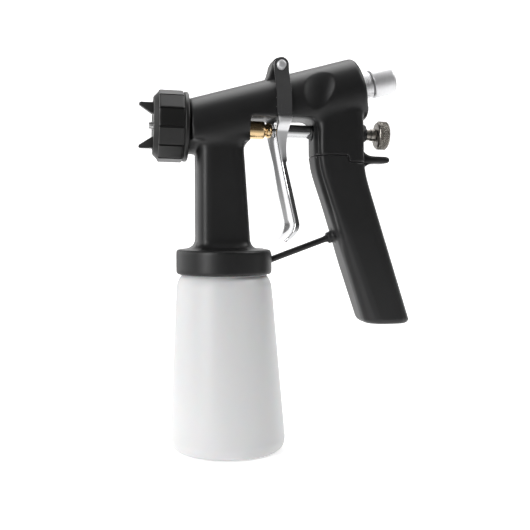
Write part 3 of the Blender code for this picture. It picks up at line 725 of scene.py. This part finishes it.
class SPRAYGUN_OT_air_cap(bpy.types.Operator):
    """Build the air cap with its two horns."""

    bl_idname = "spraygun.air_cap"
    bl_label = "Air cap"

    def execute(self, context):
        cap = [(-38.3, 14.6), (-38.3, 16.6), (-41.0, 16.6), (-41.0, 14.1), (-42.7, 14.1), (-43.3, 13.5)]
        cap += [(-43.3, 2.8), (-41.3, 2.8), (-39.6, 7.0), (-39.6, 14.6)]
        piece = make_piece("spray_cap", turned(cap, 0.3), "black_ring", "air_cap", ["air_cap"], SPRAY)
        helpers = []
        for side in (1, -1):
            helper = bpy.data.objects.new("horn_helper", horn_mesh(side))
            bpy.context.scene.collection.objects.link(helper)
            union = piece.modifiers.new("horn", "BOOLEAN")
            union.operation = "UNION"
            union.object = helper
            helpers.append(helper)
        mesh = applied(piece)
        mesh.shade_smooth()
        mesh.set_sharp_from_angle(angle=math.radians(35))
        for helper in helpers:
            bpy.data.objects.remove(helper)
        return {"FINISHED"}


def horn_mesh(side):
    """One horn: a wedge that leans over the nozzle, with rounded edges."""
    root, length, half_width, narrowing = -42.4, 9.3, 3.6, 0.38
    outline = [(root, 6.0), (root, 13.2), (-50.9, 13.3), (-51.7, 12.7), (-51.5, 11.5), (-44.6, 6.9)]
    form = bmesh.new()
    corners = [form.verts.new((along, -half_width, across * side)) for along, across in outline]
    face = form.faces.new(corners)
    extruded = bmesh.ops.extrude_face_region(form, geom=[face])
    moved = [item for item in extruded["geom"] if isinstance(item, bmesh.types.BMVert)]
    bmesh.ops.translate(form, vec=(0, 2 * half_width, 0), verts=moved)
    for vert in form.verts:
        reach = max(0.0, root - vert.co.x) / length
        vert.co.y *= 1 - narrowing * reach
    bmesh.ops.bevel(
        form, geom=list(form.edges), offset=0.45, segments=3, profile=0.6, affect="EDGES",
        clamp_overlap=True,
    )
    bmesh.ops.recalc_face_normals(form, faces=form.faces)
    bmesh.ops.transform(form, matrix=SPRAY, verts=form.verts)
    bmesh.ops.scale(form, vec=(MM, MM, MM), verts=form.verts)
    return mesh_from("horn_helper", form)


class SPRAYGUN_OT_nozzle(bpy.types.Operator):
    """Build the fluid nozzle and its gasket, and dress the fluid head and the air baffle."""

    bl_idname = "spraygun.nozzle"
    bl_label = "Nozzle"

    def execute(self, context):
        nozzle = [(-45.9, 1.0), (-45.9, 1.9), (-41.5, 2.4), (-37.6, 5.6), (-35.1, 6.2), (-35.1, 2.9)]
        nozzle += [(-22.0, 2.9), (-22.0, 1.7), (-40.5, 1.7)]
        make_piece("paint_nozzle", turned(nozzle, 0.2), "steel", "gun", ["fluid_nozzle"], SPRAY)
        gasket = turned(tube(-34.8, -34.1, 3.6, 6.4), 0.15)
        make_piece("nozzle_seal", gasket, "packing_white", "gun", ["nozzle_gasket"], SPRAY)
        dress("fluid_head", "steel")
        dress("air_baffle", "steel")
        return {"FINISHED"}


# ---------------------------------------------------------------- needle and control


class SPRAYGUN_OT_needle(bpy.types.Operator):
    """Build the needle, its sleeve, the packing and the packing nut."""

    bl_idname = "spraygun.needle"
    bl_label = "Needle"

    def execute(self, context):
        nut = [(8.3, 1.5), (8.3, 4.0), (11.7, 4.0), (11.7, 4.9), (12.3, 5.3), (21.3, 5.3), (22.0, 4.9)]
        nut += [(22.3, 3.7), (23.1, 3.7), (23.4, 4.2), (24.3, 4.5), (25.6, 4.3), (26.5, 3.4), (26.9, 2.3)]
        nut += [(26.9, 1.5)]
        needle = [(-45.3, 0), (-45.3, 0.5), (-42.0, 1.2), (62.0, 1.2), (62.0, 0)]
        sleeve = [(30.6, 1.5), (30.6, 2.4), (31.2, 3.4), (32.4, 4.1), (60.0, 4.1), (60.0, 1.5)]
        pieces = (
            ("packing_sleeve", tube(3.3, 8.0, 1.5, 4.0), "packing_white", "gun", "needle_packing"),
            ("gland_nut", nut, "brass", "gun", "packing_nut"),
            ("needle_rod", needle, "steel", "needle", "needle"),
            ("needle_collar", sleeve, "chrome", "needle", "needle_sleeve"),
        )
        for name, outline, slot, body, node in pieces:
            make_piece(name, turned(outline, 0.3), slot, body, [node], SPRAY)
        return {"FINISHED"}


class SPRAYGUN_OT_spring(bpy.types.Operator):
    """Build the needle's coil spring at one length; in the gun it shortens as the trigger is pulled."""

    bl_idname = "spraygun.spring"
    bl_label = "Spring"

    def execute(self, context):
        turns, per_turn, around = 6, 32, 10
        start, length, radius, wire = 60.9, 12.0, 4.0, 0.55
        form = bmesh.new()
        rings = []
        for i in range(turns * per_turn + 1):
            angle = math.tau * i / per_turn
            share = i / (turns * per_turn)
            centre = Vector((start + length * share, radius * math.cos(angle), radius * math.sin(angle)))
            out = Vector((0, math.cos(angle), math.sin(angle)))
            ring = []
            for k in range(around):
                turn = math.tau * k / around
                offset = out * math.cos(turn) + Vector((1, 0, 0)) * math.sin(turn)
                ring.append(form.verts.new(centre + offset * wire))
            rings.append(ring)
        for first, second in zip(rings, rings[1:]):
            for k in range(around):
                j = (k + 1) % around
                form.faces.new((first[k], first[j], second[j], second[k]))
        form.faces.new(rings[0])
        form.faces.new(rings[-1])
        piece = make_piece("coil_spring", form, "steel", "gun", ["needle_spring"], SPRAY, sharp=50)
        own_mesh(piece)
        return {"FINISHED"}


class SPRAYGUN_OT_control(bpy.types.Operator):
    """Build the control screw: spring seat, bushing, stem and knurled knob."""

    bl_idname = "spraygun.control"
    bl_label = "Control"

    def execute(self, context):
        seat = [(73.8, 0), (73.8, 4.7), (74.8, 4.7), (74.8, 0)]
        bushing = [(78.0, 3.6), (78.0, 4.4), (83.6, 4.4), (84.6, 4.1), (84.6, 3.6)]
        stem = [(75.5, 0), (75.5, 2.4), (78.4, 2.4), (78.4, 3.3), (87.0, 3.3), (87.4, 3.7), (90.7, 3.7)]
        stem += [(90.7, 0)]
        pieces = (
            ("spring_plate", seat, "steel", "spring_seat", "spring_seat"),
            ("stem_bushing", bushing, "black_body", "gun", "control_bushing"),
            ("knob_stem", stem, "nickel", "control_knob", "control_stem"),
        )
        for name, outline, slot, body, node in pieces:
            make_piece(name, turned(outline, 0.3), slot, body, [node], SPRAY)
        start, end, knob_radius, pitch = 91.9, 97.2, 8.2, 1.25
        knob = [(91.0, 0), (91.0, 7.4), (start, knob_radius), (end, knob_radius), (98.1, 7.4), (98.1, 0)]
        depth = context.scene.gun_sizes.knurl_depth / MM

        def knurled(along, radius, angle):
            if radius < knob_radius - 0.05 or not start < along < end:
                return radius
            turn = angle * knob_radius
            first = abs((turn + along) / pitch % 1 - 0.5)
            second = abs((turn - along) / pitch % 1 - 0.5)
            return radius + depth * (2 * min(first, second) * 2 - 0.8)

        form = turned(knob, 0.4, 364, step=0.22, radius_of=knurled)
        make_piece("knurled_knob", form, "nickel", "control_knob", ["control_knob"], SPRAY, sharp=60)
        return {"FINISHED"}


# ---------------------------------------------------------------- trigger

BLADE_X = 27.3
BEND_HEIGHT = 188.0
CURL_HEIGHT = 135.5
WEB_TOP = 194.0
SLOT_BOTTOM = 185.5
SLOT_HALF_WIDTH = 2.4
FOLD = 1.3
HOLLOW = 1.8
FLANGE_END = 171.0
ARM_ROWS = ((187.5, 17.2), (190.0, 18.6), (193.0, 20.4), (196.0, 21.0), (204.5, 21.1), (208.0, 20.6),
            (212.0, 18.9), (216.0, 16.6), (220.0, 14.0), (224.5, 11.8), (235.0, 11.8))
ARM_HALF_DEPTH = 4.35


def blade_front(height):
    """X of the blade's front at a height: upright at the web, sloping back, then curled forward."""
    slope, softness, curling = 0.2285, 9.0, 0.068
    drop = max(BEND_HEIGHT - height, 0.0)
    curl = max(CURL_HEIGHT - height, 0.0)
    return BLADE_X + slope * drop * drop / (drop + softness) - curling * curl * curl


def trigger_half_width(height):
    """Half of the trigger's width: the fingers' part, the waist, then the arms round the barrel."""
    waist = bell(height, 170.0, 11.0)
    foot = bell(height, 124.5, 3.6)
    shoulder = 1.0 / (1.0 + math.exp(-(height - 187.0) / 2.5))
    blade = 16.2 - 1.9 * waist - 3.2 * foot + 2.0 * shoulder
    if height <= ARM_ROWS[0][0]:
        return blade
    heights, widths = zip(*ARM_ROWS)
    arm = float(np.interp([height - 1.2, height, height + 1.2], heights, widths).mean())
    share = float(smoothstep(height, 187.5, 190.5))
    return blade + (arm - blade) * share


def flange_span(height):
    """X of the side's front and rear edges at a height."""
    front = blade_front(height)
    flange_rise = 24.0
    share = min(max((height - FLANGE_END) / flange_rise, 0.0), 1.0)
    rear = front + 3.4 + 4.2 * share**1.5
    short = front + SHEET + 0.9
    rear = short + (rear - short) * float(smoothstep(height, FLANGE_END - 1.2, FLANGE_END + 0.4))
    lift = float(smoothstep(height, 193.0, 201.0))
    front += (PIVOT_X - ARM_HALF_DEPTH - front) * lift
    rear += (PIVOT_X + ARM_HALF_DEPTH - rear) * lift
    above = height - PIVOT_HEIGHT
    if above > 0:
        half = math.sqrt(max(ARM_HALF_DEPTH**2 - above**2, 0.01))
        return PIVOT_X - half, PIVOT_X + half
    return front, rear


def trigger_rows():
    rows = [124.6 + 0.8 * i for i in range(14)]
    rows += [136.5 + 1.6 * i for i in range(21)]
    rows += [169.4, 170.0, 170.6, 171.2, 172.0, 173.5, 176.0, 178.5, 181.0, 183.5, SLOT_BOTTOM]
    rows += [186.5 + 0.9 * i for i in range(8)] + [WEB_TOP]
    rows += [195.0 + 1.2 * i for i in range(26)]
    for angle in (10, 24, 38, 52, 64, 74, 83):
        rows.append(PIVOT_HEIGHT + ARM_HALF_DEPTH * math.sin(math.radians(angle)))
    return sorted(rows)


def hollow(y, height):
    """How far the blade's front falls back at y: it is hollow between two raised edges."""
    share = 1 - float(smoothstep(height, 186.0, 196.0))
    return -HOLLOW * share * ((y / 16.0) ** 2 - 0.5)


def side_points(height, side):
    """The seven points of one side, from its rear edge round the fold, where it has one."""
    front, rear = flange_span(height)
    half = trigger_half_width(height)
    front += hollow(half - FOLD, height)
    rear = max(rear, front + FOLD + 0.6)
    if height > WEB_TOP:
        return [(rear + (front - rear) * i / 6, side * half) for i in range(7)]
    points = [(rear + (front + FOLD - rear) * i / 4, side * half) for i in range(5)]
    for turn in (30, 60):
        angle = math.radians(turn)
        inward = FOLD * (1 - math.cos(angle))
        points.append((front + FOLD * (1 - math.sin(angle)), side * (half - inward)))
    return points


def trigger_form():
    form = bmesh.new()
    previous = None
    for height in trigger_rows():
        near = [form.verts.new((x, y, height)) for x, y in side_points(height, -1)]
        far = [form.verts.new((x, y, height)) for x, y in side_points(height, 1)]
        middle = []
        if height <= WEB_TOP:
            edge = trigger_half_width(height) - FOLD
            columns = [edge, edge * 0.8, edge * 0.6, edge * 0.4, SLOT_HALF_WIDTH]
            for y in [-value for value in columns] + columns[::-1]:
                middle.append(form.verts.new((blade_front(height) + hollow(y, height), y, height)))
        row = (near, middle, far)
        if previous:
            join_rows(form, previous, row, height)
        previous = row
    return form


def join_rows(form, lower, upper, height):
    """Faces between two rows; the web stops at its top and leaves out the needle's slot."""
    for side in (0, 2):
        for i in range(6):
            form.faces.new((lower[side][i], lower[side][i + 1], upper[side][i + 1], upper[side][i]))
    if not upper[1]:
        return
    lower_web = [lower[0][-1]] + lower[1] + [lower[2][-1]]
    upper_web = [upper[0][-1]] + upper[1] + [upper[2][-1]]
    for i in range(len(upper_web) - 1):
        if i == len(upper_web) // 2 - 1 and height > SLOT_BOTTOM:
            continue
        form.faces.new((lower_web[i], lower_web[i + 1], upper_web[i + 1], upper_web[i]))


class SPRAYGUN_OT_trigger(bpy.types.Operator):
    """Build the trigger from one folded sheet: finger blade, web and two arms round the barrel."""

    bl_idname = "spraygun.trigger"
    bl_label = "Trigger"

    def execute(self, context):
        form = trigger_form()
        face_outward(form)
        bmesh.ops.scale(form, vec=(MM, MM, MM), verts=form.verts)
        mesh = mesh_from("finger_trigger", form)
        piece = settle_piece("finger_trigger", mesh, "chrome", "trigger", ["trigger"])
        sheet = piece.modifiers.new("sheet", "SOLIDIFY")
        sheet.thickness = SHEET * MM
        sheet.offset = -1
        sheet.use_even_offset = True
        round_off = piece.modifiers.new("rounded_edges", "BEVEL")
        round_off.width = 0.4 * MM
        round_off.segments = 3
        round_off.limit_method = "ANGLE"
        round_off.angle_limit = math.radians(50)
        mesh = applied(piece)
        mesh.shade_smooth()
        mesh.set_sharp_from_angle(angle=math.radians(60))
        return {"FINISHED"}


def face_outward(form):
    """Turns every face of the open sheet away from the trigger's inside."""
    bmesh.ops.recalc_face_normals(form, faces=form.faces)
    form.faces.ensure_lookup_table()
    lowest = min(form.faces, key=lambda face: face.calc_center_median().z)
    if lowest.normal.x > 0:
        bmesh.ops.reverse_faces(form, faces=form.faces)


class SPRAYGUN_OT_trigger_pin(bpy.types.Operator):
    """Build the pivot pin, its clip and the washers beside the lug."""

    bl_idname = "spraygun.trigger_pin"
    bl_label = "Trigger pin"

    def execute(self, context):
        side = 12.1
        pin = [(-side - 1.3, 0), (-side - 1.25, 1.7), (-side - 0.9, 2.6), (-side, 2.6), (-side, 2.0)]
        pin += [(side + 0.1, 2.0), (side + 0.1, 1.4), (side + 1.1, 1.4), (side + 1.1, 2.0)]
        pin += [(side + 1.9, 2.0), (side + 1.9, 0)]
        pieces = (
            ("pivot_pin", pin, "satin_aluminium", "trigger_pin"),
            ("pivot_clip", tube(side + 0.3, side + 0.9, 1.7, 3.6), "steel", "pin_clip"),
            ("washer_near", tube(-9.9, -8.6, 2.3, 4.0), "packing_white", "pivot_washer_left"),
            ("washer_far", tube(8.6, 9.9, 2.3, 4.0), "packing_white", "pivot_washer_right"),
        )
        for name, outline, slot, node in pieces:
            make_piece(name, turned(outline, 0.25, 64), slot, "gun", [node], PIVOT)
        return {"FINISHED"}


# ---------------------------------------------------------------- hose inlet


class SPRAYGUN_OT_hose_inlet(bpy.types.Operator):
    """Build the hose nipple with its fine thread, the turning collar and the O-ring."""

    bl_idname = "spraygun.hose_inlet"
    bl_label = "Hose inlet"

    def execute(self, context):
        rear = BARREL_REAR
        nipple = [(rear - 8, 5.2), (rear - 8, 7.7), (rear + 7.6, 7.7), (rear + 7.6, 6.4)]
        nipple += [(rear + 15.0, 6.4), (rear + 15.0, 5.2)]

        def threaded(along, radius, angle):
            if radius < 7.5 or not rear + 0.4 < along < rear + 7.2:
                return radius
            pitch, depth = 1.0, 0.22
            climb = (along / pitch - angle / math.tau) % 1.0
            return radius - depth * (1 - abs(2 * climb - 1))

        form = turned(nipple, 0.3, 144, step=0.2, radius_of=threaded)
        make_piece("threaded_nipple", form, "satin_aluminium", "gun", ["hose_nipple"], HOSE, sharp=60)
        collar = [(rear + 7.9, 6.8), (rear + 7.9, 8.0), (rear + 8.5, 8.65), (rear + 20.8, 8.65)]
        collar += [(rear + 21.9, 7.8), (rear + 21.9, 6.2), (rear + 17.2, 6.2), (rear + 16.4, 6.8)]
        form = turned(collar, 0.45, 144)
        make_piece("swivel_collar", form, "satin_aluminium", "hose_collar", ["hose_collar"], HOSE)
        cord, around = 0.45, 16
        o_ring = []
        for i in range(around):
            angle = math.tau * i / around
            o_ring.append((rear + 15.8 + cord * math.cos(angle), 6.0 + cord * math.sin(angle)))
        make_piece("hose_seal", turned(o_ring, 0.02), "seal_rubber", "gun", ["hose_o_ring"], HOSE)
        return {"FINISHED"}


# ---------------------------------------------------------------- stage


def add_softbox(name, place, target, size, power):
    """A rectangular light that faces its target. Size is its width and height in metres."""
    lamp = bpy.data.lights.new(name, "AREA")
    lamp.shape = "RECTANGLE"
    lamp.size, lamp.size_y = size
    lamp.energy = power
    holder = bpy.data.objects.new(name, lamp)
    holder.location = place
    holder.rotation_euler = (Vector(target) - Vector(place)).to_track_quat("-Z", "Y").to_euler()
    bpy.context.scene.collection.objects.link(holder)


def stage_finish():
    """White where the floor and the wall lie behind the gun, and darker in front and at the far left. The
    white is partly painted light: the stage glows by itself, faintly in front, about half as much round
    the gun and fully on the wall behind.
    """
    finish = Finish("stage_white", Emission_Strength=0.72)
    grain = finish.noise(0.05, 3.0)
    place = {"Vector": finish.place}
    x = finish.node("ShaderNodeSeparateXYZ", {}, place, output=0)
    y = finish.node("ShaderNodeSeparateXYZ", {}, place, output=1)
    depth = y + 0.5
    behind = finish.ramp(depth, [(0.16, 0.10), (0.36, 1.0)])
    # Painted light: the stage's own glow, weak in front of the gun, about half round it and full on the
    # wall behind.
    glow = finish.ramp(depth * 0.5, [(0.08, 0.05), (0.18, 0.47), (0.45, 0.55), (0.80, 1.0)])
    slant, shift = 0.128, 0.665
    aside = finish.ramp(x + y * slant + shift, [(0.44, 0.05), (0.50, 1.0)])
    grey, pale, black, white = [(level,) * 3 for level in (0.45, 0.92, 0.0, 1.0)]
    return finish.set(
        Base_Color=finish.blend(behind * aside, grey, pale),
        Emission_Color=finish.blend(glow * aside, black, white),
        Roughness=grain * 0.1 + 0.75,
    )


def stage_form():
    """A floor that curves up into a wall behind the object, in metres."""
    form = bmesh.new()
    half_width, front, wall_y, bend, height, steps = 4.0, -4.0, 1.6, 0.5, 3.0, 16
    line = [(front, 0.0), (wall_y - bend, 0.0)]
    for i in range(1, steps + 1):
        angle = math.radians(90) * i / steps
        line.append((wall_y - bend + bend * math.sin(angle), bend - bend * math.cos(angle)))
    line.append((wall_y, height))
    previous = None
    for y, z in line:
        pair = [form.verts.new((x, y, z)) for x in (-half_width, half_width)]
        if previous:
            form.faces.new((previous[0], previous[1], pair[1], pair[0]))
        previous = pair
    return form


class SPRAYGUN_OT_stage(bpy.types.Operator):
    """Set up the pale floor, the studio lights and the camera."""

    bl_idname = "spraygun.stage"
    bl_label = "Stage"

    def execute(self, context):
        studio = context.scene.studio
        mesh = mesh_from("pale_stage", stage_form())
        mesh.shade_smooth()
        mesh.materials.append(stage_finish())
        floor = bpy.data.objects.new("pale_stage", mesh)
        context.scene.collection.objects.link(floor)
        middle = (0.03, 0.0, 0.13)
        softboxes = (
            ("key_softbox", (-0.80, -0.68, 0.42), (0.30, 1.1), studio.key_power),
            ("side_softbox", (-0.93, 0.50, 0.40), (1.44, 0.9), studio.side_power),
            ("top_softbox", (0.10, 0.28, 1.10), (0.7, 0.7), studio.top_power),
            ("fill_softbox", (0.80, -0.20, 0.95), (0.6, 0.6), studio.fill_power),
        )
        for name, place, size, power in softboxes:
            add_softbox(name, place, middle, size, power)
        world = bpy.data.worlds.new("room")
        world.use_nodes = True
        background = world.node_tree.nodes["Background"]
        background.inputs["Color"].default_value = (studio.surround,) * 3 + (1.0,)
        context.scene.world = world
        context.scene.view_settings.view_transform = "Standard"
        self.add_camera(context)
        return {"FINISHED"}

    def add_camera(self, context):
        data = bpy.data.cameras.new("main_camera")
        data.lens = 57.74
        data.sensor_width = 36.0
        data.clip_start = 0.01
        camera = bpy.data.objects.new("main_camera", data)
        camera.location = (-0.06575, -0.50139, 0.13965)
        view = Vector((0.17335, 0.98311, -0.05872))
        camera.rotation_euler = view.to_track_quat("-Z", "Y").to_euler()
        context.scene.collection.objects.link(camera)
        context.scene.camera = camera


# ---------------------------------------------------------------- panel and start


class SPRAYGUN_PT_panel(bpy.types.Panel):
    """Settings and steps of the spray gun."""

    bl_idname = "SPRAYGUN_PT_panel"
    bl_label = "Spray gun"
    bl_space_type = "VIEW_3D"
    bl_region_type = "UI"
    bl_category = "Spray gun"

    def draw(self, context):
        for group in (context.scene.gun_colours, context.scene.gun_sizes, context.scene.studio):
            box = self.layout.box()
            for name in group.__annotations__:
                box.prop(group, name)
        for step in STEPS:
            self.layout.operator(step.bl_idname)


STEPS = (
    SPRAYGUN_OT_stage,
    SPRAYGUN_OT_body,
    SPRAYGUN_OT_grip,
    SPRAYGUN_OT_brace,
    SPRAYGUN_OT_cup,
    SPRAYGUN_OT_cup_fittings,
    SPRAYGUN_OT_cap_ring,
    SPRAYGUN_OT_air_cap,
    SPRAYGUN_OT_nozzle,
    SPRAYGUN_OT_needle,
    SPRAYGUN_OT_spring,
    SPRAYGUN_OT_control,
    SPRAYGUN_OT_trigger,
    SPRAYGUN_OT_trigger_pin,
    SPRAYGUN_OT_hose_inlet,
)
CLASSES = (GunColours, GunSizes, StudioSettings) + STEPS + (SPRAYGUN_PT_panel,)


def register():
    for item in CLASSES:
        bpy.utils.register_class(item)
    bpy.types.Scene.gun_colours = bpy.props.PointerProperty(type=GunColours)
    bpy.types.Scene.gun_sizes = bpy.props.PointerProperty(type=GunSizes)
    bpy.types.Scene.studio = bpy.props.PointerProperty(type=StudioSettings)


def unregister():
    for name in ("gun_colours", "gun_sizes", "studio"):
        delattr(bpy.types.Scene, name)
    for item in reversed(CLASSES):
        bpy.utils.unregister_class(item)


def main():
    register()
    for step in STEPS:
        group, name = step.bl_idname.split(".")
        getattr(getattr(bpy.ops, group), name)()


if __name__ == "__main__":
    main()
